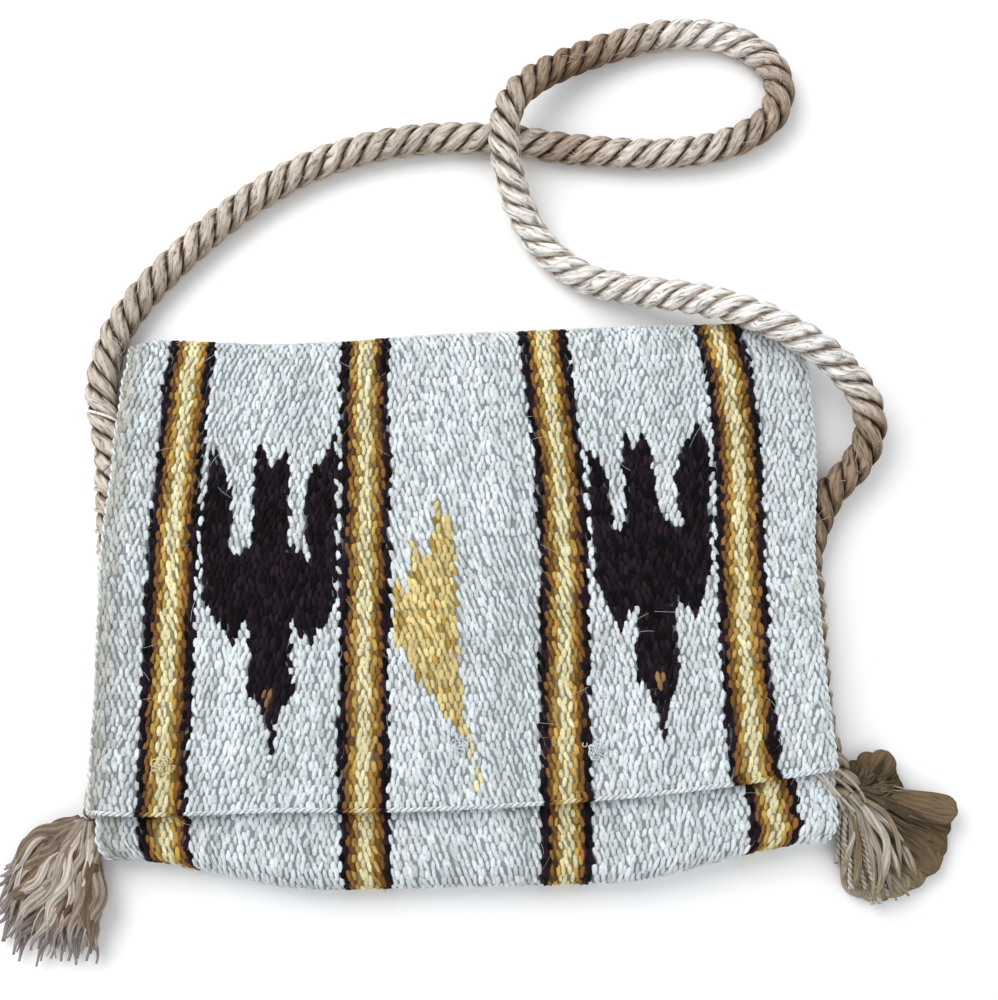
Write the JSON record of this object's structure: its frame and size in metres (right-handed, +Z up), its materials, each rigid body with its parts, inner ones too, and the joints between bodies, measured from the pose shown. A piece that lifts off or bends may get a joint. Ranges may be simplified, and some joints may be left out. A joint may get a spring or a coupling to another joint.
{
  "type": "woven wool shoulder bag",
  "caption": "Flat striped wool bag woven as a folded strip, with a flap over its pocket, a laid rope sewn down the side seams as a shoulder strap, and rope-end tassels.",
  "frame": {"origin": "middle of the back panel, on the surface that the bag lies on", "axes": "+Z up out of the flap, +Y to the fold at the top of the bag, +X to the right as the flap is seen"},
  "size_m": [0.3813, 0.3932, 0.0326],
  "materials": {
    "wool_cloth": "matt weft-faced wool, natural white with dark brown, rust, gold and pale yellow yarns",
    "rope": "matt three-strand laid rope, beige",
    "opened_rope": "loose rope yarns, matt, brown beige"
  },
  "bodies": {
    "root": {"woven_cloth": "wool_cloth", "left_side_rope": "rope", "right_side_rope": "rope", "strap_rope": "rope", "left_tassel": "opened_rope", "right_tassel": "opened_rope"}
  },
  "joints": []
}
